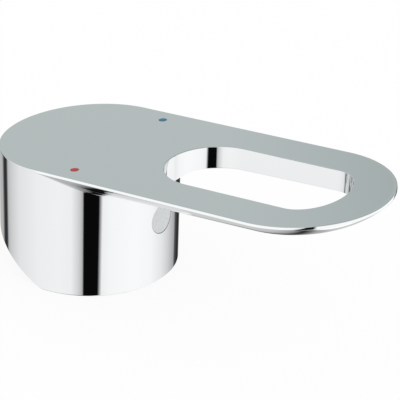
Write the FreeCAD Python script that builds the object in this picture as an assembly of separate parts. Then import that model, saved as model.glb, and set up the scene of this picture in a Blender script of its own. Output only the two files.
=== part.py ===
"""Loop handle for a single-lever mixer tap: a chrome-plated casting, its cover plug, set screw and markers.

The origin is on the axis of the round skirt, in the plane of the skirt's front rim. +Z points up along that
axis and +X along the loop. Lengths are in millimetres and angles in degrees.
"""

import FreeCAD, Part
import math
import os

Vector = FreeCAD.Vector

# Driving dimensions of the outside
SKIRT_RADIUS = 23.0      # outside of the round skirt, and half the width of the top plate
LOOP_REACH = 62.0        # skirt axis to the centre of the rounded tip
TOP_HEIGHT = 33.0        # top face above the rim plane, on the skirt axis
TOP_RISE = 5.5           # angle at which the top face climbs towards the tip
LIP_DEPTH = 0.82         # height of the thin outer lip of the plate
REAR_DEPTH = 6.45        # depth of the plate beside the finger slot, level with the skirt axis
TIP_DEPTH = 5.55         # the same depth around the tip; the plate gets thinner towards it
LOOP_BAND = 10.75        # width of the band between the finger slot and the outside
SLOT_WEB = 2.75          # plate left between the skirt and the rear end of the finger slot
SLOT_BLUNT = 8.75        # length of the front end of the finger slot, which is blunter than half a circle
SLOT_LAND = 0.9          # flat border under the plate, beside the slot
RELIEF_START = 2.5       # where the rim starts to climb towards the back, so that the handle can tilt
RELIEF_ANGLE = 25.5      # slope of the back of the rim
COVE_SIDE = 0.6          # size of the hollow curve between the skirt and the plate, at the sides
COVE_FRONT = 6.0         # size of the same curve in front, under the web
COVE_RUN = 40.0          # overhang of the plate over which it grows from one to the other
COVE_SHARE = 0.7         # share of a small overhang that the curve takes up
COVE_END = 0.36          # the curve stops where the plate overhangs the skirt by less than this
COVE_SECTIONS = 41       # sections that the curve is drawn through

# Edges
TOP_ROUND = 0.2          # rounded top edge of the plate
SLOT_BEVEL = 0.15        # bevelled top edge of the finger slot
RIM_BEVEL = 0.3          # bevelled outer edge of the rim

# Driving dimensions of the inside
SKIRT_WALL = 2.5         # wall of the skirt
CEILING = 3.5            # plate left above the hollow of the skirt
STEM_SIDE = 8.0          # square cartridge stem that the handle is pushed onto
STEM_GAP = 0.1           # clearance on each side of the stem
SOCKET_DEPTH = 14.0      # depth of the square socket
SOCKET_ROOF = 7.0        # metal left above the socket, on the skirt axis
SOCKET_LEAD = 0.6        # lead-in bevel at the mouth of the socket
BOSS_WALL = 3.0          # wall of the boss around the socket
BOSS_CORNER = 2.0        # rounded corners of the boss
RIB_WALL = 2.0           # metal around the key hole, in the rib from the boss to the front wall

# Clamping screw, its cover plug and the two markers
SCREW_RADIUS = 2.5       # metric size 5
SCREW_LENGTH = 6.0
SCREW_KEY = 2.5          # width across the flats of the hexagon socket
SCREW_KEY_DEPTH = 2.6
SCREW_BEVEL = 0.5        # bevelled ends of the screw
SCREW_GAP = 0.04         # radial clearance that stands in for the thread
SCREW_RUN = 0.8          # threaded length left behind the screw
SCREW_LEVEL = 5.5        # axis of the screw and the plug above the mouth of the socket
ACCESS_GAP = 0.3         # how much wider than the screw the hole is that it comes in by
PLUG_RADIUS = 4.05
PLUG_HEAD = 2.2          # thickness of the head of the plug, on its axis
PLUG_SINK = 0.12         # the face of the plug lies this far below the skirt
PLUG_SPIGOT = 3.0        # length of the spigot behind the head
PLUG_GAP = 0.06          # radial clearance around the plug
MARKER_RADIUS = 1.1
MARKER_DEPTH = 1.0
MARKER_BEARING = 62.9    # angle of each marker from the loop, around the skirt axis
MARKER_INSET = 2.53      # centre of each marker to the outside of the skirt
MARKER_GAP = 0.03        # radial clearance of each marker in its pocket

# Derived sizes
BEYOND = 10.0 * SKIRT_RADIUS                           # long enough to run past the whole handle
SLOPE = math.tan(math.radians(TOP_RISE))
SLOT_RADIUS = SKIRT_RADIUS - LOOP_BAND
SLOT_REAR = SKIRT_RADIUS + SLOT_WEB + SLOT_RADIUS      # centre of the rear end of the slot
SLOT_FRONT = LOOP_REACH + SLOT_RADIUS - SLOT_BLUNT     # centre of the front end of the slot
BORE_RADIUS = SKIRT_RADIUS - SKIRT_WALL
HULL_RUN = LOOP_BAND - SLOT_LAND                       # width of the curved part of the underside
SOCKET_SIDE = STEM_SIDE + 2.0 * STEM_GAP
BOSS_SIDE = SOCKET_SIDE + 2.0 * BOSS_WALL
BOSS_MOUTH = TOP_HEIGHT - SOCKET_ROOF - SOCKET_DEPTH   # lower end of the boss
SCREW_TIP = SOCKET_SIDE / 2.0                          # the screw ends flush with the wall of the socket
SCREW_HEAD = SCREW_TIP + SCREW_LENGTH
ACCESS_RADIUS = SCREW_RADIUS + ACCESS_GAP
RIB_WIDTH = 2.0 * (ACCESS_RADIUS + RIB_WALL)
PLUG_HEIGHT = BOSS_MOUTH + SCREW_LEVEL
PLUG_SEAT = SKIRT_RADIUS - PLUG_SINK - PLUG_HEAD       # shoulder under the head of the plug
MARKER_ORBIT = SKIRT_RADIUS - MARKER_INSET
COVE_BITE = math.cos(math.radians(15.0))               # the curve meets both faces at this slant
COVE_SPAN = math.asin(SKIRT_RADIUS / (SKIRT_RADIUS + COVE_END))   # bearing of its two ends, in radians
FLUSH = 1e-5 * SKIRT_RADIUS                            # how near an edge is to the face that it lies in

# The top face: its origin on the skirt axis, its normal tilted back by the rise
TOP_PLACE = FreeCAD.Placement(Vector(0, 0, TOP_HEIGHT), FreeCAD.Rotation(Vector(0, 1, 0), -TOP_RISE))


def extrude(edges, along):
    """Solid swept from the closed outline that the edges make, over the whole of the given vector."""
    return Part.Face(Part.Wire(edges)).extrude(along)


def stadium(rear_x, front_x, radius):
    """Upright prism with straight sides and two round ends, running past the handle above and below."""
    rear_side = Vector(rear_x, radius, -BEYOND)
    front_side = Vector(front_x, radius, -BEYOND)
    rear_other = Vector(rear_x, -radius, -BEYOND)
    front_other = Vector(front_x, -radius, -BEYOND)
    edges = [
        Part.makeLine(rear_other, front_other),
        Part.Arc(front_other, Vector(front_x + radius, 0, -BEYOND), front_side).toShape(),
        Part.makeLine(front_side, rear_side),
        Part.Arc(rear_side, Vector(rear_x - radius, 0, -BEYOND), rear_other).toShape(),
    ]
    return extrude(edges, Vector(0, 0, 2.0 * BEYOND))


def finger_slot():
    """Upright prism of the finger slot: its rear end is half a circle and its front end half an ellipse."""
    rear = [Vector(SLOT_REAR, side * SLOT_RADIUS, -BEYOND) for side in (1, -1)]
    front = [Vector(SLOT_FRONT, side * SLOT_RADIUS, -BEYOND) for side in (1, -1)]
    nose = Vector(SLOT_FRONT + SLOT_BLUNT, 0, -BEYOND)
    ellipse = Part.Ellipse(front[1], nose, Vector(SLOT_FRONT, 0, -BEYOND))
    edges = [
        Part.makeLine(rear[1], front[1]),
        Part.ArcOfEllipse(ellipse, 0, math.pi).toShape(),
        Part.makeLine(front[0], rear[0]),
        Part.Arc(rear[0], Vector(SLOT_REAR - SLOT_RADIUS, 0, -BEYOND), rear[1]).toShape(),
    ]
    return extrude(edges, Vector(0, 0, 2.0 * BEYOND))


def curve_depth(middle, inward):
    """Depth of the curved underside at a distance inward from the outside of the plate.

    It is a parabola that starts at the lip and turns flat at the depth given for the middle.
    """
    short = max(1.0 - inward / HULL_RUN, 0.0)
    return middle - (middle - LIP_DEPTH) * short ** 2


def middle_depth(x):
    """Depth of the flat middle of the underside, at a distance along the plate up to its tip."""
    return REAR_DEPTH + (TIP_DEPTH - REAR_DEPTH) * x / LOOP_REACH


def hull():
    """Top plate before it is trimmed: a straight stretch that gets thinner and half a turn of its end."""
    spare = 0.5 * LIP_DEPTH
    outside = SKIRT_RADIUS + spare
    inner = SKIRT_RADIUS - HULL_RUN
    reach = LOOP_REACH / math.cos(math.radians(TOP_RISE))

    def side(x, across, middle):
        """Edge of the section on one side: down past the outside, then in along the curve to the flat."""
        rim = Vector(x, across * outside, -curve_depth(middle, -spare))
        turn = Vector(x, across * (outside + inner) / 2.0, -middle)
        flat = Vector(x, across * inner, -middle)
        curve = Part.BezierCurve()
        curve.setPoles([rim, turn, flat])
        return [Part.makeLine(Vector(x, across * outside, 0), rim), curve.toShape()], flat

    def section(x, middle):
        """Outline of the whole section at one place along the plate."""
        left, left_flat = side(x, 1, middle)
        right, right_flat = side(x, -1, middle)
        lid = Part.makeLine(Vector(x, outside, 0), Vector(x, -outside, 0))
        return Part.Wire(Part.__sortEdges__([lid] + right + [Part.makeLine(right_flat, left_flat)] + left))

    back = -SKIRT_RADIUS / 2.0
    stretch = Part.makeLoft([section(back, middle_depth(back)), section(reach, TIP_DEPTH)], True, True)
    half, flat = side(reach, -1, TIP_DEPTH)
    axis = [Vector(reach, 0, -TIP_DEPTH), Vector(reach, 0, 0)]
    lines = [
        Part.makeLine(flat, axis[0]),
        Part.makeLine(axis[0], axis[1]),
        Part.makeLine(axis[1], Vector(reach, -outside, 0)),
    ]
    tip = Part.Face(Part.Wire(Part.__sortEdges__(half + lines))).revolve(axis[1], Vector(0, 0, 1), 180)
    whole = stretch.fuse(tip).removeSplitter()
    whole.Placement = TOP_PLACE
    return whole


def below_top(depth):
    """Everything that lies under the top face by at least the given depth."""
    block = Part.makeBox(2 * BEYOND, 2 * BEYOND, 2 * BEYOND, Vector(-BEYOND, -BEYOND, -2 * BEYOND - depth))
    block.Placement = TOP_PLACE
    return block


def upright(radius, low, high):
    """Round bar on the skirt axis between two heights."""
    return Part.makeCylinder(radius, high - low, Vector(0, 0, low), Vector(0, 0, 1))


def crosswise(radius, start, end):
    """Round bar on the axis of the screw, between two distances from the skirt axis."""
    return Part.makeCylinder(radius, end - start, Vector(start, 0, PLUG_HEIGHT), Vector(1, 0, 0))


def underside(x, y):
    """Height of the underside of the plate above the rim plane, beside the skirt."""
    return TOP_HEIGHT + x * SLOPE - curve_depth(middle_depth(x), SKIRT_RADIUS - abs(y))


def cove_size(overhang):
    """Size of the hollow curve where the plate overhangs the skirt by the given length.

    It starts from nothing, soon comes near to the size at the sides, and grows on to the size in front.
    """
    beside = 1.0 - math.exp(-COVE_SHARE * overhang / COVE_SIDE)
    before = 1.0 - math.exp(-(overhang / COVE_RUN) ** 2)
    return COVE_SIDE * beside + (COVE_FRONT - COVE_SIDE) * before


def cove():
    """Hollow curve from the skirt to the underside, running out to nothing where the plate meets the skirt.

    Each section is a quarter circle whose two ends are sunk a little into the skirt and the plate.
    """
    wires = []
    for number in range(COVE_SECTIONS):
        turn = COVE_SPAN * (2.0 * number / (COVE_SECTIONS - 1) - 1.0)
        overhang = SKIRT_RADIUS / max(abs(math.sin(turn)), SKIRT_RADIUS / BEYOND) - SKIRT_RADIUS
        size = cove_size(overhang)
        bend = size / COVE_BITE

        def on_curve(climb):
            """Point of the section at an angle up the quarter circle."""
            out = size - bend * math.cos(climb)
            radius = SKIRT_RADIUS + out
            x, y = radius * math.cos(turn), radius * math.sin(turn)
            return Vector(x, y, underside(x, y) - size + bend * math.sin(climb))

        foot, hollow, crest = [on_curve(climb) for climb in (0.0, math.pi / 4.0, math.pi / 2.0)]
        corner = Vector(foot.x, foot.y, crest.z) - Vector(math.cos(turn), math.sin(turn), 0) * bend
        wires.append(Part.Wire([
            Part.Arc(foot, hollow, crest).toShape(),
            Part.makeLine(crest, corner),
            Part.makeLine(corner, foot),
        ]))
    return Part.makeLoft(wires, True, False)


def outside():
    """Solid outside of the casting: skirt, plate, cove and finger slot."""
    plate = hull().common(stadium(0, LOOP_REACH, SKIRT_RADIUS))
    skirt = upright(SKIRT_RADIUS, 0, BEYOND).common(below_top(0))
    body = skirt.fuse(plate).removeSplitter()
    body = body.fuse(cove())
    return body.cut(finger_slot())


def relief():
    """Wedge taken off the back of the rim, so that the handle can be tilted up."""
    wedge = Part.makeBox(BEYOND, 2 * BEYOND, BEYOND, Vector(-BEYOND, -BEYOND, -BEYOND))
    wedge.Placement = FreeCAD.Placement(Vector(RELIEF_START, 0, 0),
                                        FreeCAD.Rotation(Vector(0, 1, 0), RELIEF_ANGLE))
    return wedge


def boss():
    """Square boss around the stem and the rib to the front wall, from their lower ends up to the ceiling."""
    half = BOSS_SIDE / 2.0
    post = Part.makeBox(BOSS_SIDE, BOSS_SIDE, BEYOND, Vector(-half, -half, BOSS_MOUTH))
    corners = [edge for edge in post.Edges if abs(edge.tangentAt(edge.FirstParameter).z) > 0.5]
    post = post.makeFillet(BOSS_CORNER, corners)
    rib_half = RIB_WIDTH / 2.0
    reach = SKIRT_RADIUS - SKIRT_WALL / 2.0
    rib = Part.makeBox(reach, RIB_WIDTH, BEYOND, Vector(0, -rib_half, PLUG_HEIGHT))
    rib = rib.fuse(crosswise(rib_half, 0, reach))
    return post.fuse(rib).common(below_top(CEILING / 2.0)).removeSplitter()


def socket():
    """Square hole for the cartridge stem, with a bevelled mouth."""
    half = SOCKET_SIDE / 2.0
    hole = Part.makeBox(SOCKET_SIDE, SOCKET_SIDE, SOCKET_DEPTH, Vector(-half, -half, BOSS_MOUTH))

    def square(side, height):
        return Part.makePolygon([
            Vector(sx * side, sy * side, height)
            for sx, sy in ((-1, -1), (1, -1), (1, 1), (-1, 1), (-1, -1))
        ])

    lead = Part.makeLoft([
        square(half + 2 * SOCKET_LEAD, BOSS_MOUTH - SOCKET_LEAD),
        square(half, BOSS_MOUTH + SOCKET_LEAD),
    ], True, True)
    return hole.fuse(lead)


def marker_place(side):
    """Place of a marker on the top face; side is -1 for hot and +1 for cold."""
    turn = math.radians(MARKER_BEARING)
    x = MARKER_ORBIT * math.cos(turn)
    y = side * MARKER_ORBIT * math.sin(turn)
    return FreeCAD.Placement(Vector(x, y, TOP_HEIGHT + x * SLOPE), TOP_PLACE.Rotation)


def marker(side, radius, top):
    """Round marker or its pocket, square to the top face and reaching to a height above it."""
    disc = Part.makeCylinder(radius, MARKER_DEPTH + top, Vector(0, 0, -MARKER_DEPTH), Vector(0, 0, 1))
    disc.Placement = marker_place(side)
    return disc


def under_top(spot):
    """Distance of a point below the top face."""
    return -TOP_PLACE.inverse().multVec(spot).z


def on_top(spot):
    """Whether a point lies in the top face."""
    return abs(under_top(spot)) < FLUSH


def on_slot(spot):
    """Whether a point lies on the wall of the finger slot, seen from above."""
    ahead = max(spot.x - SLOT_FRONT, 0.0) * SLOT_RADIUS / SLOT_BLUNT
    behind = max(SLOT_REAR - spot.x, 0.0)
    return abs(math.hypot(ahead + behind, spot.y) - SLOT_RADIUS) < FLUSH


def off_rim(spot):
    """Distance of a point from the outer edge of the rim, in height or in plan, whichever is more."""
    rim = max(0.0, (RELIEF_START - spot.x) * math.tan(math.radians(RELIEF_ANGLE)))
    return max(abs(spot.z - rim), abs(math.hypot(spot.x, spot.y) - SKIRT_RADIUS))


def edges_where(body, lies):
    """Every edge of the body whose points all pass the given test."""
    edges = []
    for edge in body.Edges:
        span = edge.LastParameter - edge.FirstParameter
        spots = [edge.valueAt(edge.FirstParameter + span * share) for share in (0.0, 0.3, 0.5, 0.8, 1.0)]
        if all(lies(spot) for spot in spots):
            edges.append(edge)
    return edges


def shell():
    """Skirt and plate with their edges finished, hollow inside the skirt."""
    body = outside()
    body = body.makeFillet(TOP_ROUND, edges_where(body, lambda spot: on_top(spot) and not on_slot(spot)))
    body = body.makeChamfer(SLOT_BEVEL, edges_where(body, lambda spot: on_top(spot) and on_slot(spot)))
    body = body.cut(relief())
    body = body.cut(upright(BORE_RADIUS, -BEYOND, BEYOND).common(below_top(CEILING)))
    return body.makeChamfer(RIM_BEVEL, edges_where(body, lambda spot: off_rim(spot) < FLUSH))


def lever_body():
    """The whole casting, with the holes for the stem, the screw, the plug and the markers."""
    body = shell().fuse(boss())
    holes = [
        socket(),
        crosswise(SCREW_RADIUS + SCREW_GAP, 0, SCREW_HEAD + SCREW_RUN),
        crosswise(ACCESS_RADIUS, SCREW_HEAD + SCREW_RUN, BEYOND),
        crosswise(PLUG_RADIUS + PLUG_GAP, PLUG_SEAT, BEYOND),
    ]
    holes += [marker(side, MARKER_RADIUS + MARKER_GAP, MARKER_DEPTH) for side in (-1, 1)]
    for hole in holes:
        body = body.cut(hole)
    return body.removeSplitter()


def cover_plug():
    """Plug with a head that follows the skirt and a spigot that holds it in the access hole."""
    head = crosswise(PLUG_RADIUS, PLUG_SEAT, BEYOND).common(upright(SKIRT_RADIUS - PLUG_SINK, 0, TOP_HEIGHT))
    return head.fuse(crosswise(ACCESS_RADIUS - PLUG_GAP, PLUG_SEAT - PLUG_SPIGOT, PLUG_SEAT)).removeSplitter()


def set_screw():
    """Socket set screw, bevelled at both ends, that bears on the stem."""
    bar = crosswise(SCREW_RADIUS, SCREW_TIP, SCREW_HEAD)
    ends = [edge for edge in bar.Edges if edge.Length > 1.9 * math.pi * SCREW_RADIUS and edge.isClosed()]
    bar = bar.makeChamfer(SCREW_BEVEL, ends)
    corner = SCREW_KEY / math.sqrt(3.0)
    points = [Vector(SCREW_HEAD - SCREW_KEY_DEPTH,
                     corner * math.cos(math.radians(turn)),
                     PLUG_HEIGHT + corner * math.sin(math.radians(turn))) for turn in range(0, 361, 60)]
    key = Part.Face(Part.makePolygon(points)).extrude(Vector(2 * SCREW_KEY_DEPTH, 0, 0))
    return bar.cut(key)


def save(name, shape):
    """Write one piece of the handle as a file of its own."""
    shape.exportStep(os.path.join("parts", name + ".step"))


os.makedirs("parts", exist_ok=True)
save("lever_body", lever_body())
save("cover_plug", cover_plug())
save("set_screw", set_screw())
save("hot_marker", marker(-1, MARKER_RADIUS, 0))
save("cold_marker", marker(1, MARKER_RADIUS, 0))
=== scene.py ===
"""Looks of the loop handle for a mixer tap: chrome casting, grey cover plug, steel screw and two markers.

The sizes in this file are in millimetres and degrees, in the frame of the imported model: the origin is on the
axis of the round skirt, in the plane of its front rim, +Z is up and +X runs along the loop. Meshes are in
metres.
"""

import math

import bmesh
import bpy
import numpy as np
from mathutils import Matrix


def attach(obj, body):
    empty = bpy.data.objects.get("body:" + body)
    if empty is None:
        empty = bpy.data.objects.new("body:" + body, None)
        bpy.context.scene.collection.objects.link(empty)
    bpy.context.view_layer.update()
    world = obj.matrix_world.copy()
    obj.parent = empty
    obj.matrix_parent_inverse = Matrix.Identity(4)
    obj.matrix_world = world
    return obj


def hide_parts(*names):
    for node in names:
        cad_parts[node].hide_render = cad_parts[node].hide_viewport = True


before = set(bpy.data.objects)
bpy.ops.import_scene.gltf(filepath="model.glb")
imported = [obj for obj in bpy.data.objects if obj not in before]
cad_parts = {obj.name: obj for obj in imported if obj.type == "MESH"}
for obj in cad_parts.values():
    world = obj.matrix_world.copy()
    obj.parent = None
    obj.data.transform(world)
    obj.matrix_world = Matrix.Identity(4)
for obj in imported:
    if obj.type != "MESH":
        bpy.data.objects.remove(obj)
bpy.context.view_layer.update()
MM = 0.001
QUARTER = math.pi / 2.0

# Casting, outside
SKIRT_RADIUS = 23.0
LOOP_REACH = 62.0         # from the skirt axis to the centre of the round tip
TOP_HEIGHT = 33.0         # height of the top face on the skirt axis
TOP_RISE = 5.5            # slope of the top face
LIP_DEPTH = 0.82          # height of the upright lip around the plate
LIP_SOFT = 0.05           # soft lower corner of the lip
LIP_SHARE = 0.35          # that corner takes at most this share of the overhang
LIP_DRAFT = 0.05          # the polished lip draws in by this much at its top
REAR_DEPTH = 6.45         # depth beside the slot, level with the skirt axis
TIP_DEPTH = 5.55          # the same depth around the tip
LOOP_BAND = 10.75         # width of the loop beside the slot
SLOT_WEB = 2.75           # between the skirt and the rear end of the slot
SLOT_BLUNT = 8.75         # length of the front end of the slot, half an ellipse
SLOT_LAND = 0.9           # flat border of the underside beside the slot
RELIEF_START = 2.5        # the rim is flat in front of this x and climbs behind it
RELIEF_ANGLE = 25.5
RELIEF_SOFT = 0.15        # soft bend where the rim starts to climb
RELIEF_FADE = 20.0        # the rim is cut flat where the climb lies this many soft bends below it
COVE_SIDE = 0.6           # hollow curve between the skirt and the plate, at the sides
COVE_FRONT = 6.0          # the same curve in front, under the web
COVE_START = 0.7          # how fast it starts with the overhang of the plate
COVE_RUN = 40.0           # overhang over which it grows from the side's size to the front's
COVE_SINE = 0.1           # least sine of the bearing, which bounds the overhang straight ahead
TOP_ROUND = 0.2
SLOT_ROUND = 0.12         # lower edge of the slot
RIM_ROUND = 0.3
SEAM_SHARE = 0.55         # the two surfaces of the underside meet at this share of the web

# Casting, inside
SKIRT_WALL = 2.5
CEILING = 3.5
CEILING_SOFT = 0.8        # hollow corner between the inner wall and the ceiling
BOSS_HALF = 7.1
BOSS_CORNER = 2.0
BOSS_MOUTH = 12.0         # height of the lower end of the boss
BOSS_SOFT = 0.5           # rounding of that end
BOSS_BEND = 0.15          # its two middle steps lie this share of it from the side and from the end
SOCKET_HALF = 4.13
SOCKET_CORNER = 0.3
SOCKET_DEPTH = 14.0
SOCKET_LEAD = 0.6         # bevel at the mouth of the socket
MOUTH_CORNER = 0.5        # corners of the socket at the outer end of the bevel
LEAD_CORNER = 0.4         # the same near its inner end
RIB_HALF = 4.8
RIB_START = 5.0
RIB_END = 20.6
RIB_SHOULDER = 0.5        # a row this far above the screw keeps the sides of the rib straight

# Cover plug and markers
PLUG_HEIGHT = 17.5
PLUG_RADIUS = 4.05
PLUG_SINK = 0.12          # the face of the plug lies this far under the skirt
PLUG_SEAT = 20.68
PLUG_SPIGOT = 3.0
PLUG_ROUND = 0.12
SPIGOT_RADIUS = 2.74
RECESS_RADIUS = 4.11
RECESS_SOFT = 0.06
MARKER_RADIUS = 1.1
MARKER_DEPTH = 1.0
MARKER_BEARING = 62.9     # bearing and distance of the markers around the skirt axis
MARKER_ORBIT = 20.47
MARKER_CROWN = 0.05       # the enamel stands this far above the plate at its middle

# Samples along the borders that the surfaces of the casting share
N_SIDE = 48               # straight side of the loop
N_TIP = 96                # round tip
N_BACK = 64               # round back of the skirt
N_CUSP = 32               # side of the plate from the back to the seam under it
N_MIDDLE = N_BACK + 2 * N_CUSP
N_LOOP = 2 * N_SIDE + N_TIP

# Rows and columns of each surface
N_ROUND = 8               # steps across a rounded edge
LIP_ROWS = 9
FACE_ROWS = 13            # top face, from the lip to the slot
SLOT_ROWS = 6
UNDER_ROWS = 16           # underside of the loop, away from its two borders
UNDER_MIDDLE = (0.06, 0.94)    # first and last share of the way out for those rows
UNDER_INNER = (0.0, 0.025)     # shares of the two rows beside the slot
UNDER_OUTER = (0.985, 1.0)     # shares of the two rows beside the lip
COVE_ROWS = 29            # underside beside the skirt
WALL_ROWS = 9
RIM_ROWS = 5
ROOF_ROWS = 8
PLUG_ROWS = 8
PLUG_COLUMNS = 96
MARKER_ROWS = 9
MARKER_COLUMNS = 64
RIB_COLUMNS = 33
WINDOW_COLUMNS = 20       # columns of the skirt on each side of the plug that its recess is set into
WINDOW_HALF = 5.0         # half the height of that window
RECESS_SHARES = (0.0, 0.2, 0.4, 0.6, 0.8, 0.97, 1.0)   # rows from the window to the recess
SUPPORT = 0.06            # rows this close to a rounded edge keep the flat beside it flat
ROOF_SHARE = 0.85         # the even rows of the ceiling start at this share of its radius
NEARBY = 0.01             # the slope of the underside is taken over this distance to both sides
WELD = 0.0005             # points closer than this are one

SLOPE = math.tan(math.radians(TOP_RISE))
UPRIGHT = 1.0 / math.cos(math.radians(TOP_RISE))   # upright depth for a depth square to the top face
SLOT_RADIUS = SKIRT_RADIUS - LOOP_BAND
SLOT_REAR = SKIRT_RADIUS + SLOT_WEB + SLOT_RADIUS
SLOT_FRONT = LOOP_REACH + SLOT_RADIUS - SLOT_BLUNT
BORE_RADIUS = SKIRT_RADIUS - SKIRT_WALL
HULL_RUN = LOOP_BAND - SLOT_LAND
SEAM = SKIRT_RADIUS + SEAM_SHARE * SLOT_WEB

# Colours of the finishes
CHROME = (0.66, 0.67, 0.675)
CAST_SKIN = (0.45, 0.46, 0.465)
GREY_DEEP = (0.66, 0.68, 0.68)
GREY_PALE = (0.72, 0.74, 0.74)
STEEL_DEEP = (0.36, 0.36, 0.37)
STEEL_PALE = (0.5, 0.5, 0.51)
RED_DEEP = (0.36, 0.02, 0.018)
RED_PALE = (0.46, 0.03, 0.028)
BLUE_DEEP = (0.02, 0.12, 0.21)
BLUE_PALE = (0.03, 0.16, 0.28)
PAPER_DEEP = (0.94, 0.94, 0.94)
PAPER_PALE = (0.97, 0.97, 0.97)
WHITE = (1.0, 1.0, 1.0)
SKIN_RADIUS = (22.2, 21.2)    # the dull skin of the casting starts between these radii
SKIN_DEPTH = (1.5, 2.5)       # and between these depths under the top face

# Studio around the handle
FLOOR_SIZE = 4000.0
FLOOR_WHITE = 0.9         # share of plain white in the floor as the camera sees it
CAMERA_EYE = (274.86, -355.7, 249.1)
CAMERA_BEARING = -55.9
CAMERA_HEIGHT = 27.43     # elevation of the line of sight
CAMERA_ROLL = 1.95
CAMERA_LENS = 177.73
CAMERA_CLIP = (10.0, 20000.0)
SENSOR = 36.0

# Tones of the studio that polished metal shows, on straight lines between stops of a place and a level.
# Heights are the sine of the elevation, and a pair of numbers is the start and the end of a soft step.
GLOSS_LIGHT = 1.42        # brightness of the screens, which makes up for what chrome takes away
GLOSS_AZIMUTH = -52.3     # direction towards the camera

# White screens around the handle, in degrees from the camera and positive to its right. There are two dark
# gaps at the back, and a brighter upper part, which the lip shows.
SCREENS = [
    (-180.0, 0.55), (-168.0, 0.5), (-160.0, 0.4), (-147.0, 0.42), (-143.0, 0.2), (-139.5, 0.03),
    (-131.0, 0.03), (-126.5, 0.5), (-118.0, 0.62), (-100.0, 0.8), (-70.0, 0.9), (-40.0, 0.93), (-20.0, 0.9),
    (20.0, 0.95), (60.0, 1.0), (85.0, 0.96), (105.0, 0.82), (120.0, 0.64), (131.0, 0.47), (138.0, 0.38),
    (142.0, 0.08), (150.0, 0.03), (161.0, 0.015), (163.5, 0.13), (168.5, 0.16), (171.0, 0.5), (180.0, 0.55),
]
UPPER = (-0.45, -0.38)
UPPER_LIGHT = 0.16

# A white card over the gap on the right. Only the rear end of the slot is high enough to show it.
CARD_LEFT = (96.0, 106.0)
CARD_RIGHT = (140.0, 134.0)
CARD_FOOT = (-0.457, -0.452)
CARD = 0.93

# The third gap is in front, around the camera. Places are the part of the direction that points right.
# Above a height the left edge leans to the right, and the right edge moves right over a span of heights.
FRONT = (-0.25, -0.05)    # part of the direction that points to the camera, where the front takes over
GAP_LEFT = [(-0.35, 0.99), (-0.205, 0.72), (-0.142, 0.5), (-0.117, 0.006), (-0.1, 0.003)]
LEFT_LEAN = 0.6
LEFT_LEAN_FROM = -0.45
GAP_RIGHT = [(0.149, 0.0), (0.184, 0.4), (0.222, 0.95), (0.366, 1.0)]
RIGHT_LEAN = 0.033
RIGHT_LEAN_SPAN = (-0.52, -0.44)

# The same gap on the ground below the screens. Straight below, its soft left edge lies further right. Its
# right edge is bent: one list gives the place of that edge at each height, the other the levels across it.
# The grey of this ground beside the gap is painted shadow: it stands in for the handle's shadow on the floor.
GROUND = (-0.68, -0.64)
GROUND_LEFT_GAP_AND_SHADOW = [(-0.9, 0.75), (-0.6, 0.7), (-0.44, 0.62), (-0.3, 0.32), (-0.2, 0.01), (-0.15, 0.0)]
STEEP = (-0.8, -0.86)
STEEP_SHIFT = 0.08
GROUND_EDGE = [
    (-0.96, 0.04), (-0.82, 0.07), (-0.79, 0.02), (-0.778, -0.06), (-0.76, -0.055), (-0.716, 0.04),
    (-0.69, 0.09), (-0.65, 0.15),
]
GROUND_RIGHT = [(-0.02, 0.006), (0.01, 0.35), (0.04, 0.65), (0.1, 0.95)]

# The ground behind the handle, which the underside of the tip shows. It has a soft gap that leans to the
# left as it comes up from a level, and plain white to the right of it, whose edge leans the other way.
# Its grey around the gap is painted shadow, which stands in for the handle's shadow on the floor.
FAR_EDGE = (-0.6, -0.5)
FAR_GAP_AND_SHADOW = [
    (-0.3, 0.62), (0.0, 0.5), (0.06, 0.3), (0.09, 0.1), (0.106, 0.01), (0.12, 0.05), (0.145, 0.17),
    (0.165, 0.34), (0.185, 0.36), (0.2, 0.43), (0.22, 0.5), (0.5, 0.52),
]
FAR_LEAN = 0.25
FAR_LEVEL = -0.79
FAR_WHITE = (0.17, 0.187)
FAR_WHITE_LEAN = 0.5
FAR_WHITE_LEVEL = -0.84

# Grey walls above the screens, from left to right of the far side. The top face shows them.
WALL_LEFT = (0.459, 0.503, 0.498)
WALL_RIGHT = (0.355, 0.403, 0.398)
WALL_FADE = (0.0, 0.13)
WALL_FOOT = (-0.05, 0.1)


def top(x):
    """Height of the top face: a plane that rises along x."""
    return TOP_HEIGHT + SLOPE * x


def ceiling(x):
    """Height of the ceiling of the hollow, parallel to the top face."""
    return top(x) - UPRIGHT * CEILING


def root(x):
    """Height in the middle of the metal above the ceiling, where the boss and the rib are rooted."""
    return top(x) - 0.5 * UPRIGHT * CEILING


def cove_size(bearing):
    """Size of the hollow curve at a bearing around the skirt.

    It grows with the overhang of the plate: first to its size at the sides, then slowly to its size in front.
    """
    overhang = SKIRT_RADIUS / np.maximum(np.abs(np.sin(bearing)), COVE_SINE) - SKIRT_RADIUS
    side = COVE_SIDE * (1.0 - np.exp(-COVE_START * overhang / COVE_SIDE))
    return side + (COVE_FRONT - COVE_SIDE) * (1.0 - np.exp(-(overhang / COVE_RUN) ** 2))


def underside(x, y):
    """Height of the underside of the plate.

    The depth below the top face is a parabola of the distance inward from the outline. It starts at the
    depth of the lip and turns flat before it reaches the slot, at a depth that shrinks towards the tip.
    Close to the skirt a quarter circle is added, which drops down to the wall.
    """
    middle = REAR_DEPTH + (TIP_DEPTH - REAR_DEPTH) * np.minimum(x / LOOP_REACH, 1.0)
    inward = SKIRT_RADIUS - np.hypot(np.maximum(x - LOOP_REACH, 0.0), y)
    short = np.clip(1.0 - inward / HULL_RUN, 0.0, None)
    size = cove_size(np.arctan2(y, x))
    gap = np.clip(size + SKIRT_RADIUS - np.hypot(x, y), 0.0, size)
    drop = size - np.sqrt(size ** 2 - gap ** 2)
    return top(x) - UPRIGHT * (middle - (middle - LIP_DEPTH) * short ** 2) - drop


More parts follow.
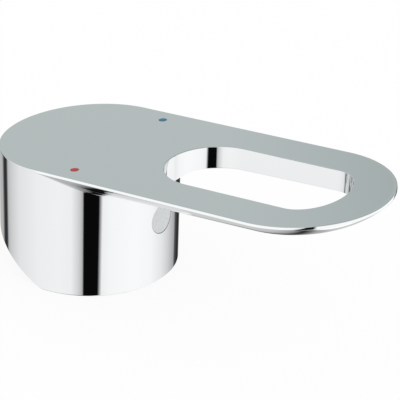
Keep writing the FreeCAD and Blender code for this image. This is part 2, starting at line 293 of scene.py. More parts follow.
def rim(x):
    """Height of the rim and its slope: flat in front, climbing at the back.

    The bend between is one branch of a hyperbola, which is cut to zero well in front of it.
    """
    steep = math.tan(math.radians(RELIEF_ANGLE))
    climb = (RELIEF_START - x) * steep
    bend = np.sqrt(climb ** 2 + RELIEF_SOFT ** 2)
    height = 0.5 * (climb + bend) * (climb > -RELIEF_FADE * RELIEF_SOFT)
    return height, -0.5 * steep * (1.0 + climb / bend)


def spread(*parts):
    """Values from several runs, each given as start, end and steps; the end of a run starts the next one."""
    return np.concatenate([np.linspace(start, end, steps + 1)[:-1] for start, end, steps in parts])


def shares(count):
    """Even shares of a way, from none to all of it."""
    return np.linspace(0.0, 1.0, count)


def stack(x, y, z):
    """Points from three arrays that may still have to be stretched to one shape."""
    return np.stack(np.broadcast_arrays(x, y, z), axis=-1)


def between(start, end, way):
    """Rows of points on the straight lines from start to end, at the given shares of the way."""
    share = np.asarray(way).reshape(-1, *([1] * start.ndim))
    return start + share * (end - start)


def edge_round(radius, slope, side):
    """Rounded edge between an upright wall and a face that has a slope towards the wall.

    The edge is an arc of a circle that touches both. Returned are the distance out from the wall and the
    height above the corner, with the rows running from the wall to the face. side is 1 for a face on top, -1
    for one below.
    """
    turn = (side * QUARTER + np.arctan(slope)) * shares(N_ROUND + 1)[:, None]
    middle = -slope * radius - side * radius * np.sqrt(1.0 + slope ** 2)
    return radius * (np.cos(turn) - 1.0), middle + radius * np.sin(turn)


def soft_corner(start, corner, end):
    """Parabola from start to end that leaves and arrives in the directions of the corner."""
    t = shares(N_ROUND + 1).reshape(-1, *([1] * corner.ndim))
    return (1.0 - t) ** 2 * start + 2.0 * t * (1.0 - t) * corner + t ** 2 * end


def outline_ring():
    """Plan of the outline, anticlockwise from the near end of the seam: x, y, and the outward normal.

    It is a straight side, half a circle around the tip, the other side, and half a circle around the back.
    """
    cusp = np.arctan2(SKIRT_RADIUS, SEAM)
    tip = spread((-QUARTER, QUARTER, N_TIP))
    back = spread((QUARTER, 3.0 * QUARTER, N_BACK))
    far_cusp = SKIRT_RADIUS / np.tan(spread((cusp, QUARTER, N_CUSP)))
    near_cusp = SKIRT_RADIUS / np.tan(spread((QUARTER, cusp, N_CUSP)))
    near = spread((SEAM, LOOP_REACH, N_SIDE))
    far = spread((LOOP_REACH, SEAM, N_SIDE))
    nx = np.concatenate([0 * near, np.cos(tip), 0 * far, 0 * far_cusp, np.cos(back), 0 * near_cusp])
    ny = np.concatenate([
        0 * near - 1, np.sin(tip), 0 * far + 1, 0 * far_cusp + 1, np.sin(back), 0 * near_cusp - 1])
    axis = np.concatenate([near, 0 * tip + LOOP_REACH, far, far_cusp, 0 * back, near_cusp])
    return axis + SKIRT_RADIUS * nx, SKIRT_RADIUS * ny, nx, ny


def slot_ring():
    """Plan of the slot with as many points as the outline: x, y, and the normal that points into the slot.

    The rear end is half a circle and the front end half an ellipse that is blunter.
    """
    tip = spread((-QUARTER, QUARTER, N_TIP))
    rear = spread((QUARTER, 3.0 * QUARTER, N_MIDDLE))
    near = spread((SLOT_REAR, SLOT_FRONT, N_SIDE))
    far = spread((SLOT_FRONT, SLOT_REAR, N_SIDE))
    steep = np.hypot(SLOT_RADIUS * np.cos(tip), SLOT_BLUNT * np.sin(tip))
    front_x = SLOT_FRONT + SLOT_BLUNT * np.cos(tip)
    x = np.concatenate([near, front_x, far, SLOT_REAR + SLOT_RADIUS * np.cos(rear)])
    y = SLOT_RADIUS * np.concatenate([0 * near - 1, np.sin(tip), 0 * far + 1, np.sin(rear)])
    nx = np.concatenate([0 * near, SLOT_RADIUS * np.cos(tip) / steep, 0 * far, np.cos(rear)])
    ny = np.concatenate([0 * near - 1, SLOT_BLUNT * np.sin(tip) / steep, 0 * far + 1, np.sin(rear)])
    return x, y, -nx, -ny


class Casting:
    """Surfaces of the casting as grids of points that share their borders."""

    def __init__(self):
        self.x, self.y, self.nx, self.ny = outline_ring()
        overhang = np.hypot(self.x, self.y) - SKIRT_RADIUS
        on_back = np.arange(len(self.x)) - (N_LOOP + N_CUSP)
        overhang[(on_back >= 0) & (on_back <= N_BACK)] = 0.0
        self.inset = np.minimum(LIP_SOFT, LIP_SHARE * overhang)
        self.draft = LIP_DRAFT * self.inset / LIP_SOFT
        self.hull_x = self.x - self.inset * self.nx
        self.hull_y = self.y - self.inset * self.ny
        self.lip = top(self.x) - UPRIGHT * LIP_DEPTH
        self.bearing, self.reach = self.under_bearings()

    def under_bearings(self):
        """Bearings of the surface beside the skirt, from -90 to 90 degrees, and how far out each one runs."""
        near = np.arange(len(self.x) - N_CUSP, len(self.x))
        far = np.arange(N_LOOP, N_LOOP + N_CUSP + 1)
        near_x, near_y = self.hull_x[near], self.hull_y[near]
        far_x, far_y = self.hull_x[far], self.hull_y[far]
        corner = math.atan2(self.hull_y[N_LOOP], SEAM)
        middle = spread((-corner, corner, N_MIDDLE))
        bearing = np.concatenate([np.arctan2(near_y, near_x), middle, np.arctan2(far_y, far_x)])
        reach = np.concatenate([np.hypot(near_x, near_y), SEAM / np.cos(middle), np.hypot(far_x, far_y)])
        return bearing, reach

    def crown(self):
        """Ring up the lip, over the top face and down the slot.

        Each point of the outline is joined to its partner on the slot. The rows are the lip, which draws in
        with the square of the height, an edge arc, straight lines over the top face, and another edge arc.
        Then come the rows of the slot.
        """
        out, lift = edge_round(TOP_ROUND, SLOPE * self.nx, 1)
        out = out - self.draft
        edge = stack(self.x + out * self.nx, self.y + out * self.ny, top(self.x) + lift)
        share = shares(LIP_ROWS)
        wall_z = between(self.lip + self.inset, edge[0, :, 2], share)[:-1]
        drawn = (self.draft * share[:, None] ** 2)[:-1]
        wall = stack(self.x - drawn * self.nx, self.y - drawn * self.ny, wall_z)

        sx, sy, mx, my = slot_ring()
        slot_out, slot_lift = edge_round(TOP_ROUND, SLOPE * mx, 1)
        slot_edge = stack(sx + slot_out * mx, sy + slot_out * my, top(sx) + slot_lift)[::-1]
        outer = stack(edge[-1, :, 0] - SUPPORT * self.nx, edge[-1, :, 1] - SUPPORT * self.ny, 0.0)
        inner = stack(slot_edge[0, :, 0] - SUPPORT * mx, slot_edge[0, :, 1] - SUPPORT * my, 0.0)
        face = between(outer, inner, shares(FACE_ROWS))
        face[..., 2] = top(face[..., 0])
        side, low = self.slot_wall(slot_edge[-1, :, 2])
        return np.concatenate([wall, edge, face, slot_edge, side, low])

    def slot_wall(self, start):
        """Wall of the slot from a height down, and the edge arc under it.

        The arc touches the slope of the underside. What it still misses is made up with the square of the
        way along it.
        """
        sx, sy, mx, my = slot_ring()
        inside = underside(sx + NEARBY * mx, sy + NEARBY * my)
        outside = underside(sx - NEARBY * mx, sy - NEARBY * my)
        low_out, low_lift = edge_round(SLOT_ROUND, (inside - outside) / (2 * NEARBY), -1)
        low = stack(sx + low_out * mx, sy + low_out * my, underside(sx, sy) + low_lift)
        miss = underside(low[-1, :, 0], low[-1, :, 1]) - low[-1, :, 2]
        low[..., 2] += miss * shares(N_ROUND + 1)[:, None] ** 2
        self.slot_border = low[-1]
        side = stack(sx, sy, between(start - SUPPORT, low[0, :, 2] + SUPPORT, shares(SLOT_ROWS)))
        return side, low

    def lip_corner(self):
        """Soft lower corner of the lip, from the near cusp round the tip to the far cusp."""
        run = np.arange(-N_CUSP, N_LOOP + N_CUSP + 1)
        start = stack(self.x, self.y, self.lip + self.inset)[run]
        corner = stack(self.x, self.y, self.lip)[run]
        end = stack(self.hull_x, self.hull_y, underside(self.hull_x, self.hull_y))[run]
        return soft_corner(start, corner, end)

    def under_loop(self):
        """Underside from the slot to the lip and, at the rear, to the seam in front of the skirt.

        Rows are straight in plan, at shares of the way out, and take the height of the underside. They lie
        closer together beside both borders.
        """
        loop = np.arange(N_LOOP)
        middle = self.bearing[N_CUSP:N_CUSP + N_MIDDLE + 1][:0:-1]
        plan_x = np.concatenate([self.hull_x[loop], 0 * middle + SEAM])
        plan_y = np.concatenate([self.hull_y[loop], SEAM * np.tan(middle)])
        border = stack(plan_x, plan_y, 0.0)
        way = np.concatenate([UNDER_INNER, np.linspace(*UNDER_MIDDLE, UNDER_ROWS), UNDER_OUTER])
        rows = between(self.slot_border, border, way)
        rows[1:, :, 2] = underside(rows[1:, :, 0], rows[1:, :, 1])
        return rows

    def under_skirt(self):
        """Underside beside the skirt, with the hollow curve that leads down to it.

        Rows run out along each bearing from the wall to the lip or the seam. Their distance from the wall is
        one minus a cosine, so that they lie close together where the curve is steep.
        """
        share = 1.0 - np.cos(np.linspace(0.0, QUARTER, COVE_ROWS))[:, None]
        out = SKIRT_RADIUS + share * (self.reach - SKIRT_RADIUS)
        x = out * np.cos(self.bearing)
        y = out * np.sin(self.bearing)
        points = stack(x, y, underside(x, y))
        self.cove_foot = points[0, :, 2]
        return points

    def skirt_columns(self):
        """Bearings of the columns of the skirt and the height at which each one starts under the plate."""
        back = spread((QUARTER, 3.0 * QUARTER, N_BACK))[1:]
        bearing = np.concatenate([self.bearing, back])
        back_start = top(SKIRT_RADIUS * np.cos(back)) - UPRIGHT * LIP_DEPTH
        return bearing, np.concatenate([self.cove_foot, back_start])

    def skirt(self):
        """Skirt in three grids around its axis: above the plug, beside it, and below it with the inside."""
        bearing, start = self.skirt_columns()
        high, low = PLUG_HEIGHT + WINDOW_HALF, PLUG_HEIGHT - WINDOW_HALF
        wall_x, wall_y = SKIRT_RADIUS * np.cos(bearing), SKIRT_RADIUS * np.sin(bearing)
        upper_z = between(start - 2 * SUPPORT, 0 * start + high, shares(WALL_ROWS))
        upper = stack(wall_x, wall_y, np.concatenate([start[None], upper_z]))
        beside = stack(wall_x, wall_y, np.linspace(high, low, 2 * WINDOW_COLUMNS + 1)[:, None])
        centre = N_CUSP + N_MIDDLE // 2
        around = np.arange(centre + WINDOW_COLUMNS, centre - WINDOW_COLUMNS + len(bearing) + 1)
        beside = beside[:, around % len(bearing)]
        self.window_bearing = bearing[centre - WINDOW_COLUMNS:centre + WINDOW_COLUMNS + 1]
        return upper, beside, lower_skirt(bearing, low)

    def recess(self):
        """Recess of the plug, with the square window of the skirt around it.

        Points go in straight lines, seen along the screw, from the square to the circle of the recess. They
        lie on the skirt up to there, then turn a soft corner, go in to the seat and close at its middle.
        """
        wide = SKIRT_RADIUS * np.sin(self.window_bearing)
        tall = np.linspace(WINDOW_HALF, -WINDOW_HALF, 2 * WINDOW_COLUMNS + 1)
        y = np.concatenate([wide[:-1], 0 * tall[:-1] + wide[-1], wide[:0:-1], 0 * tall[:-1] + wide[0]])
        z = np.concatenate([0 * tall[:-1] + WINDOW_HALF, tall[:-1], 0 * tall[:-1] - WINDOW_HALF, tall[:0:-1]])
        turn = np.arctan2(z, y)
        mouth = RECESS_RADIUS + RECESS_SOFT
        circle = stack(mouth * np.cos(turn), mouth * np.sin(turn), 0.0)
        flat = between(stack(y, z, 0.0), circle, RECESS_SHARES)
        skin_x = np.sqrt(SKIRT_RADIUS ** 2 - flat[..., 0] ** 2)
        skin = stack(skin_x, flat[..., 0], flat[..., 1] + PLUG_HEIGHT)

        def ring(radius, depth, seat):
            """Circle of the recess at a depth under the skirt, or on the flat seat."""
            ring_y, ring_z = radius * np.cos(turn), PLUG_HEIGHT + radius * np.sin(turn)
            on_skirt = np.sqrt(SKIRT_RADIUS ** 2 - ring_y ** 2) - depth
            return stack(PLUG_SEAT if seat else on_skirt, ring_y, ring_z)

        corner = soft_corner(
            ring(mouth, 0.0, False),
            ring(RECESS_RADIUS, 0.0, False),
            ring(RECESS_RADIUS, RECESS_SOFT, False))
        rest = np.stack([
            ring(RECESS_RADIUS, RECESS_SOFT + SUPPORT, False),
            ring(RECESS_RADIUS, 0.0, True),
            ring(RECESS_RADIUS - SUPPORT, 0.0, True),
            ring(0.0, 0.0, True)])
        return np.concatenate([skin, corner, rest])


def lower_skirt(bearing, start):
    """Skirt from a height under the plug down the wall, round the rim, up the inside and over the ceiling.

    Each row has a radius and a height at every bearing. Both edges of the rim are arcs, the corner under the
    ceiling is a parabola, and the rows of the ceiling close at its middle.
    """
    across, along = np.cos(bearing), np.sin(bearing)
    height, slope = rim(SKIRT_RADIUS * across)
    out, lift = edge_round(RIM_ROUND, slope * across, -1)
    edge_r, edge_z = SKIRT_RADIUS + out, height + lift
    wall_z = between(0 * height + start, edge_z[0] + SUPPORT, shares(WALL_ROWS))
    bore_height, bore_slope = rim(BORE_RADIUS * across)
    bore_out, bore_lift = edge_round(RIM_ROUND, -bore_slope * across, -1)
    bore_r, bore_z = (BORE_RADIUS - bore_out)[::-1], (bore_height + bore_lift)[::-1]
    face_r = between(edge_r[-1] - SUPPORT, bore_r[0] + SUPPORT, shares(RIM_ROWS))
    face_z = rim(face_r * across)[0]

    room = BORE_RADIUS - CEILING_SOFT
    corner_z = ceiling(BORE_RADIUS * across)
    soft = soft_corner(
        stack(BORE_RADIUS, 0 * across, corner_z - CEILING_SOFT),
        stack(BORE_RADIUS, 0 * across, corner_z),
        stack(room, 0 * across, ceiling(room * across)))
    inner_z = between(bore_z[-1] + SUPPORT, corner_z - CEILING_SOFT - SUPPORT, shares(WALL_ROWS))
    roof = np.concatenate([[room - SUPPORT], np.linspace(ROOF_SHARE * room, 0.0, ROOF_ROWS)])
    roof_r = roof[:, None] + 0 * across
    wall_r = 0 * wall_z + SKIRT_RADIUS
    inner_r = 0 * inner_z + BORE_RADIUS
    radius = np.concatenate([wall_r, edge_r, face_r, bore_r, inner_r, soft[..., 0], roof_r])
    z = np.concatenate([wall_z, edge_z, face_z, bore_z, inner_z, soft[..., 2], ceiling(roof_r * across)])
    return stack(radius * across, radius * along, z)


def rounded_square(half, corner, steps=6):
    """Ring of a square with rounded corners: four quarter circles, each moved out to its own corner."""
    arc = np.linspace(0.0, QUARTER, steps + 1)
    turn = np.concatenate([arc + k * QUARTER for k in range(4)])
    corner_turn = np.repeat(np.arange(4) * QUARTER + 0.5 * QUARTER, steps + 1)
    away = (half - corner) * math.sqrt(2.0)
    x = corner * np.cos(turn) + away * np.cos(corner_turn)
    y = corner * np.sin(turn) + away * np.sin(corner_turn)
    return x, y


def boss_grid():
    """Boss with the socket: rounded squares from the ceiling down the outside and back up the socket.

    Each step has half a width, a corner radius and a height; without a height it is rooted in the ceiling.
    """
    mouth, roof = BOSS_MOUTH, BOSS_MOUTH + SOCKET_DEPTH
    lead = SOCKET_HALF + SOCKET_LEAD
    steps = [
        (0.0, 0.0, None),
        (BOSS_HALF, BOSS_CORNER, None),
        (BOSS_HALF, BOSS_CORNER, mouth + BOSS_SOFT + SUPPORT),
        (BOSS_HALF, BOSS_CORNER, mouth + BOSS_SOFT),
        (BOSS_HALF - BOSS_BEND * BOSS_SOFT, BOSS_CORNER, mouth + 0.5 * BOSS_SOFT),
        (BOSS_HALF - 0.5 * BOSS_SOFT, BOSS_CORNER, mouth + BOSS_BEND * BOSS_SOFT),
        (BOSS_HALF - BOSS_SOFT, BOSS_CORNER, mouth),
        (BOSS_HALF - BOSS_SOFT - SUPPORT, BOSS_CORNER, mouth),
        (lead + SUPPORT, MOUTH_CORNER, mouth),
        (lead, MOUTH_CORNER, mouth),
        (lead - SUPPORT, MOUTH_CORNER, mouth + SUPPORT),
        (SOCKET_HALF + SUPPORT, LEAD_CORNER, mouth + SOCKET_LEAD - SUPPORT),
        (SOCKET_HALF, SOCKET_CORNER, mouth + SOCKET_LEAD),
        (SOCKET_HALF, SOCKET_CORNER, mouth + SOCKET_LEAD + SUPPORT),
        (SOCKET_HALF, SOCKET_CORNER, roof - SUPPORT),
        (SOCKET_HALF, SOCKET_CORNER, roof),
        (SOCKET_HALF - SUPPORT, SOCKET_CORNER, roof),
        (0.0, 0.0, roof),
    ]
    rings = []
    for half, corner, height in steps:
        x, y = rounded_square(half, corner)
        rings.append(stack(x, y, root(x) if height is None else height))
    return np.stack(rings)


def rib_grid():
    """Rib from the boss to the front wall: a U around the screw, carried along x, with both ends closed."""
    turn = np.linspace(math.pi, 2.0 * math.pi, RIB_COLUMNS)
    shoulder = PLUG_HEIGHT + RIB_SHOULDER
    y = np.concatenate([[-RIB_HALF, -RIB_HALF], RIB_HALF * np.cos(turn), [RIB_HALF, RIB_HALF]])
    free = np.concatenate([[0.0, 1.0], 1.0 + 0 * turn, [1.0, 0.0]])
    low = np.concatenate([[0.0, shoulder], PLUG_HEIGHT + RIB_HALF * np.sin(turn), [shoulder, 0.0]])

    def section(x, size):
        """The U at x, with its two ends rooted in the ceiling; size 0 shrinks it to a point."""
        z = np.where(free > 0.5, low, root(x))
        return stack(x, size * y, PLUG_HEIGHT + size * (z - PLUG_HEIGHT))

    middle = 0.5 * (RIB_START + RIB_END)
    ends = [(RIB_START, 0.0), (RIB_START, 1.0), (middle, 1.0), (RIB_END, 1.0), (RIB_END, 0.0)]
    return np.stack([section(x, size) for x, size in ends])


def plug_grid():
    """Plug: circles around the screw axis.

    They go over a face that follows the skirt, round its edge and down the spigot.
    """
    turn = spread((0.0, 2.0 * math.pi, PLUG_COLUMNS))
    bend = np.linspace(0.0, QUARTER, N_ROUND + 1)
    flat = PLUG_RADIUS - PLUG_ROUND
    face = np.linspace(0.0, flat - SUPPORT, PLUG_ROWS)
    radius = np.concatenate([face, flat + PLUG_ROUND * np.sin(bend)])[:, None]
    sunk = np.concatenate([0 * face, PLUG_ROUND * (1.0 - np.cos(bend))])[:, None]
    y = radius * np.cos(turn)
    x = np.sqrt((SKIRT_RADIUS - PLUG_SINK) ** 2 - y ** 2) - sunk
    head = stack(x, y, PLUG_HEIGHT + radius * np.sin(turn))
    back = PLUG_SEAT - PLUG_SPIGOT
    rows = [
        (PLUG_RADIUS, PLUG_SEAT + SUPPORT), (PLUG_RADIUS, PLUG_SEAT), (SPIGOT_RADIUS, PLUG_SEAT),
        (SPIGOT_RADIUS, back), (0.0, back),
    ]
    radius, depth = np.array(rows).T[..., None]
    stem = stack(depth, radius * np.cos(turn), PLUG_HEIGHT + radius * np.sin(turn))
    return np.concatenate([head, stem])


def marker_grid(side):
    """Marker: circles on the top face under a low crown, closed below at the floor of its pocket.

    The crown falls from the middle to the edge with the fourth power of the radius.
    """
    turn = spread((0.0, 2.0 * math.pi, MARKER_COLUMNS))
    share = shares(MARKER_ROWS)
    radius = np.concatenate([MARKER_RADIUS * share, [MARKER_RADIUS, 0.0]])[:, None]
    lift = np.concatenate([MARKER_CROWN * (1.0 - share ** 4), [-MARKER_DEPTH, -MARKER_DEPTH]])[:, None]
    bearing = math.radians(MARKER_BEARING)
    x = MARKER_ORBIT * math.cos(bearing) + radius * np.cos(turn)
    y = side * MARKER_ORBIT * math.sin(bearing) + radius * np.sin(turn)
    return stack(x, y, top(x) + lift)


def quads(rows, columns, closed):
    """Corner numbers of the faces of a grid; a closed grid joins its last column to its first."""
    index = np.arange(rows * columns).reshape(rows, columns)
    if closed:
        index = np.concatenate([index, index[:, :1]], axis=1)
    return np.stack([index[:-1, :-1], index[:-1, 1:], index[1:, 1:], index[1:, :-1]], axis=-1).reshape(-1, 4)


def make_piece(name, grids, material):
    """Piece that stands for the node of the same name, from pairs of a grid and whether its columns close.

    Borders and poles that grids share are welded, and the faces are turned outwards.
    """
    points, faces, count = [], [], 0
    for grid, closed in grids:
        rows, columns = grid.shape[:2]
        points.append(grid.reshape(-1, 3) * MM)
        faces.append(quads(rows, columns, closed) + count)
        count += rows * columns
    mesh = bpy.data.meshes.new(name + "_skin")
    mesh.from_pydata(np.concatenate(points), [], np.concatenate(faces))
    welded = bmesh.new()
    welded.from_mesh(mesh)
    bmesh.ops.remove_doubles(welded, verts=welded.verts, dist=WELD * MM)
    bmesh.ops.recalc_face_normals(welded, faces=welded.faces)
    welded.to_mesh(mesh)
    welded.free()
    mesh.shade_smooth()
    piece = bpy.data.objects.new(name + "_skin", mesh)
    bpy.context.collection.objects.link(piece)
    mesh.materials.append(material)
    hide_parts(name)
    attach(piece, "root")


class Wire:
    """One output of a node. Arithmetic on wires adds Math nodes to their tree."""

    def __init__(self, tree, socket):
        self.tree = tree
        self.socket = socket

    def math(self, operation, *values):
        """Math node with the given values or wires."""
        return self.tree.node("ShaderNodeMath", {"operation": operation}, dict(enumerate(values)))

    def __add__(self, other):
        return self.math("ADD", self, other)

    def __sub__(self, other):
        return self.math("SUBTRACT", self, other)

    def __rsub__(self, other):
        return self.math("SUBTRACT", other, self)

    def __mul__(self, other):
        return self.math("MULTIPLY", self, other)

    __radd__ = __add__
    __rmul__ = __mul__

    def hypot(self, other):
        """Length of the long side over two short ones."""
        return self.math("SQRT", self * self + other * other)

    def step(self, low, high):
        """Soft step from 0 at low to 1 at high."""
        return self.tree.node(
            "ShaderNodeMapRange",
            {"interpolation_type": "SMOOTHSTEP"},
            {"Value": self, "From Min": low, "From Max": high})


class Tree:
    """Node tree of a material or of the world."""

    def __init__(self, owner):
        owner.use_nodes = True
        self.nodes = owner.node_tree.nodes
        self.links = owner.node_tree.links
        self.nodes.clear()

    def node(self, kind, settings=None, inputs=None, output=0):
        """Add a node: its settings first, then the values or wires of its sockets. Returns one output."""
        made = self.nodes.new(kind)
        for key, value in (settings or {}).items():
            setattr(made, key, value)
        for key, value in (inputs or {}).items():
            if isinstance(value, Wire):
                self.links.new(value.socket, made.inputs[key])
            else:
                made.inputs[key].default_value = value
        return Wire(self, made.outputs[output]) if len(made.outputs) else None

    def ramp(self, value, stops, span=1.0):
        """Level at a value between -span and span, on straight lines between stops of place and level.

        A ramp node only holds places and levels between 0 and 1, so those of -span to span and of -1 to 1 are
        brought into that range and the result is brought back.
        """
        made = self.node("ShaderNodeValToRGB", None, {0: value * (0.5 / span) + 0.5})
        elements = made.socket.node.color_ramp.elements
        while len(elements) < len(stops):
            elements.new(1.0)
        for element, (place, level) in zip(elements, stops):
            element.position = 0.5 + 0.5 * place / span
            element.color = rgb(*[0.5 + 0.5 * level] * 3)
        return 2.0 * made - 1.0

    def mix(self, share, first, second):
        """Colour between two colours."""
        return self.node("ShaderNodeMix", {"data_type": "RGBA"}, {0: share, 6: first, 7: second}, 2)

    def place(self):
        """Object coordinates, in metres."""
        return self.node("ShaderNodeTexCoord", output="Object")

    def apart(self, vector):
        """The three parts of a vector."""
        first = self.node("ShaderNodeSeparateXYZ", inputs={0: vector})
        return [Wire(self, socket) for socket in first.socket.node.outputs]

    def noise(self, vector, scale, detail=2.0):
        """Noise between 0 and 1, with its scale per metre."""
        return self.node("ShaderNodeTexNoise", None, {"Vector": vector, "Scale": scale, "Detail": detail})

    def bump(self, height, strength, depth):
        """Normal tilted by a height, which is a share of a depth in millimetres."""
        return self.node(
            "ShaderNodeBump", None, {"Height": height, "Strength": strength, "Distance": depth * MM})

    def surface(self, inputs):
        """Principled surface on the output of a material."""
        shader = self.node("ShaderNodeBsdfPrincipled", None, inputs)
        self.node("ShaderNodeOutputMaterial", None, {"Surface": shader})


def rgb(red, green, blue):
    """Colour socket value."""
    return (red, green, blue, 1.0)


def chrome_plate():
    """Polished chrome with faint lapping waves; inside the skirt it keeps the dull skin of the casting."""
    material = bpy.data.materials.new("chrome_plate_polished")
    tree = Tree(material)
    place = tree.place()
    x, y, z = tree.apart(place)
    inside = x.hypot(y).step(*[radius * MM for radius in SKIN_RADIUS])
    inside = inside * (TOP_HEIGHT * MM + SLOPE * x - z).step(*[depth * MM for depth in SKIN_DEPTH])
    grain = tree.noise(place, scale=2600.0, detail=3.0)
    waves = tree.noise(place, scale=140.0)
    tree.surface({
        "Base Color": tree.mix(inside, rgb(*CHROME), rgb(*CAST_SKIN)),
        "Metallic": 1.0,
        "Roughness": 0.02 + 0.02 * grain + 0.3 * inside,
        "Normal": tree.bump(waves + grain * inside, strength=0.05, depth=0.05),
    })
    return material


def grey_plastic():
    """Moulded plastic with a fine satin grain and slightly uneven colour."""
    material = bpy.data.materials.new("grey_plastic_satin")
    tree = Tree(material)
    place = tree.place()
    grain = tree.noise(place, scale=5200.0, detail=4.0)
    cloud = tree.noise(place, scale=400.0)
    tree.surface({
        "Base Color": tree.mix(cloud, rgb(*GREY_DEEP), rgb(*GREY_PALE)),
        "Roughness": 0.32 + 0.16 * grain,
        "Normal": tree.bump(grain, strength=0.12, depth=0.04),
    })
    return material


def screw_steel():
    """Turned steel: fine rings around the axis of the screw."""
    material = bpy.data.materials.new("screw_steel_turned")
    tree = Tree(material)
    place = tree.place()
    x, y, z = tree.apart(place)
    around = y.hypot(z - PLUG_HEIGHT * MM)
    turned = tree.node("ShaderNodeCombineXYZ", None, {0: around, 1: x, 2: 0.0})
    rings = tree.noise(turned, scale=9000.0, detail=3.0)
    tree.surface({
        "Base Color": tree.mix(rings, rgb(*STEEL_DEEP), rgb(*STEEL_PALE)),
        "Metallic": 1.0,
        "Roughness": 0.28 + 0.2 * rings,
        "Normal": tree.bump(rings, strength=0.2, depth=0.03),
    })
    return material


def enamel(name, deep, pale):
    """Glossy enamel filling: its colour is a little uneven and its face not quite level."""
    material = bpy.data.materials.new(name)
    tree = Tree(material)
    place = tree.place()
    cloud = tree.noise(place, scale=1400.0, detail=3.0)
    tree.surface({
        "Base Color": tree.mix(cloud, rgb(*deep), rgb(*pale)),
        "Roughness": 0.16 + 0.12 * cloud,
        "Normal": tree.bump(cloud, strength=0.08, depth=0.05),
        "Specular IOR Level": 0.18,
    })
    return material


def floor_white():
    """White paper: seen directly it is nearly full white, so the shadow on it stays faint."""
    material = bpy.data.materials.new("floor_paper")
    tree = Tree(material)
    fibre = tree.noise(tree.place(), scale=900.0, detail=3.0)
    colour = tree.mix(fibre, rgb(*PAPER_DEEP), rgb(*PAPER_PALE))
    paper = tree.node("ShaderNodeBsdfDiffuse", None, {"Color": colour})
    white = tree.node("ShaderNodeEmission", None, {"Color": rgb(*WHITE), "Strength": 1.0})
    seen = tree.node("ShaderNodeLightPath", output="Is Camera Ray") * FLOOR_WHITE
    both = tree.node("ShaderNodeMixShader", None, {0: seen, 1: paper, 2: white})
    tree.node("ShaderNodeOutputMaterial", None, {"Surface": both})
    return material


def studio_floor():
    """Square sheet of paper under the handle, as a grid of four corners."""
    mesh = bpy.data.meshes.new("floor")
    half = 0.5 * FLOOR_SIZE * MM
    corners = [(-half, -half, 0), (half, -half, 0), (half, half, 0), (-half, half, 0)]
    mesh.from_pydata(corners, [], [(0, 1, 2, 3)])
    floor = bpy.data.objects.new("floor", mesh)
    bpy.context.collection.objects.link(floor)
    mesh.materials.append(floor_white())
    floor.visible_glossy = False


def front_gap_and_ground_shadow(tree, right, z):
    """Level of the gap in front: between two leaning edges, and between two others on the ground, whose grey
    is painted shadow.
    """
    left_edge = right - LEFT_LEAN * z.math("MAXIMUM", z - LEFT_LEAN_FROM, 0.0)
    right_edge = right - RIGHT_LEAN * z.step(*RIGHT_LEAN_SPAN)
    upright = tree.ramp(left_edge, GAP_LEFT) + tree.ramp(right_edge, GAP_RIGHT)
    ground_left = right - STEEP_SHIFT * z.step(*STEEP)
    ground_right = right - tree.ramp(z, GROUND_EDGE)
    # painted shadow: the grey of the ground beside the gap stands in for the handle's shadow on the floor
    ground = tree.ramp(ground_left, GROUND_LEFT_GAP_AND_SHADOW) + tree.ramp(ground_right, GROUND_RIGHT)
    level = z.step(*GROUND)
    return level * upright + (1.0 - level) * ground


def far_ground_gap_and_shadow(tree, right, z):
    """Level of the ground behind the handle: a leaning gap with white to the right of it, in painted shadow
    grey.
    """
    # painted shadow: the grey of this ground stands in for the handle's shadow on the floor
    gap = tree.ramp(right + FAR_LEAN * (z - FAR_LEVEL), FAR_GAP_AND_SHADOW)
    white = (right - FAR_WHITE_LEAN * (z - FAR_WHITE_LEVEL)).step(*FAR_WHITE)
    return gap + white * (1.0 - gap)


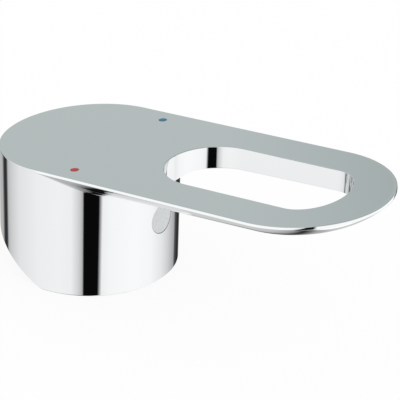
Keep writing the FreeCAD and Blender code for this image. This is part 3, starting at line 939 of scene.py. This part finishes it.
def studio_light():
    """World of white screens.

    The camera and dull surfaces see plain white. Polished metal sees the screens around the handle and under
    it, with dark gaps between them, and grey walls above them. The grey of the ground under the screens is
    painted shadow: it stands in for the handle's shadow on the floor, which polished metal does not see.
    """
    world = bpy.data.worlds.new("studio")
    bpy.context.scene.world = world
    tree = Tree(world)
    x, y, z = tree.apart(tree.node("ShaderNodeTexCoord", output="Generated"))
    turn = math.radians(GLOSS_AZIMUTH)
    ahead = math.cos(turn) * x + math.sin(turn) * y
    right = math.cos(turn) * y - math.sin(turn) * x
    azimuth = ahead.math("ARCTAN2", right, ahead) * (180.0 / math.pi)

    around = tree.ramp(azimuth, SCREENS, span=180.0)
    card = azimuth.step(*CARD_LEFT) * azimuth.step(*CARD_RIGHT) * z.step(*CARD_FOOT)
    around = around + card * (CARD - around)
    high = z.step(*FAR_EDGE)
    # below the screens polished metal sees the ground, whose grey is painted shadow of the handle
    behind = high * around + (1.0 - high) * far_ground_gap_and_shadow(tree, right, z)
    front = ahead.step(*FRONT)
    screens = front * around * front_gap_and_ground_shadow(tree, right, z) + (1.0 - front) * behind
    screens = screens.math("MINIMUM", screens * (1.0 + UPPER_LIGHT * z.step(*UPPER)), 1.0)

    grey = tree.mix(right.step(*WALL_FADE), rgb(*WALL_LEFT), rgb(*WALL_RIGHT))
    tone = tree.mix(z.step(*WALL_FOOT), screens, grey)
    gloss = tree.node("ShaderNodeLightPath", output="Is Glossy Ray")
    seen = tree.mix(gloss, rgb(*WHITE), tone)
    strength = 1.0 + (GLOSS_LIGHT - 1.0) * gloss
    light = tree.node("ShaderNodeBackground", None, {"Color": seen, "Strength": strength})
    tree.node("ShaderNodeOutputWorld", None, {"Surface": light})


def photo_camera():
    """Camera at the view of the photograph: turned to its bearing, raised to its height, then rolled."""
    data = bpy.data.cameras.new("camera")
    data.lens = CAMERA_LENS
    data.sensor_width = SENSOR
    data.sensor_fit = "HORIZONTAL"
    data.clip_start, data.clip_end = [distance * MM for distance in CAMERA_CLIP]
    camera = bpy.data.objects.new("camera", data)
    bpy.context.collection.objects.link(camera)
    place = Matrix.Translation([value * MM for value in CAMERA_EYE])
    turn = Matrix.Rotation(math.radians(CAMERA_BEARING + 90.0), 4, "Z")
    raise_up = Matrix.Rotation(math.radians(90.0 - CAMERA_HEIGHT), 4, "X")
    roll = Matrix.Rotation(math.radians(CAMERA_ROLL), 4, "Z")
    camera.matrix_world = place @ turn @ raise_up @ roll
    bpy.context.scene.camera = camera


def casting_grids():
    """All surfaces of the casting, each with whether its columns close.

    They are made in this order, because a later one uses borders of earlier ones.
    """
    casting = Casting()
    grids = [
        (casting.crown(), True),
        (casting.lip_corner(), False),
        (casting.under_loop(), True),
        (casting.under_skirt(), False),
    ]
    upper, beside, lower = casting.skirt()
    grids += [(upper, True), (beside, False), (lower, True), (casting.recess(), True)]
    return grids + [(boss_grid(), True), (rib_grid(), True)]


def build():
    """Make every piece, then the studio."""
    make_piece("lever_body", casting_grids(), chrome_plate())
    make_piece("cover_plug", [(plug_grid(), True)], grey_plastic())
    red = enamel("hot_red_enamel", RED_DEEP, RED_PALE)
    blue = enamel("cold_blue_enamel", BLUE_DEEP, BLUE_PALE)
    make_piece("hot_marker", [(marker_grid(-1), True)], red)
    make_piece("cold_marker", [(marker_grid(1), True)], blue)
    steel = screw_steel()
    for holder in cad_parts["set_screw"].material_slots:
        holder.material = steel
    studio_floor()
    studio_light()
    photo_camera()
    bpy.context.scene.view_settings.view_transform = "Standard"


build()
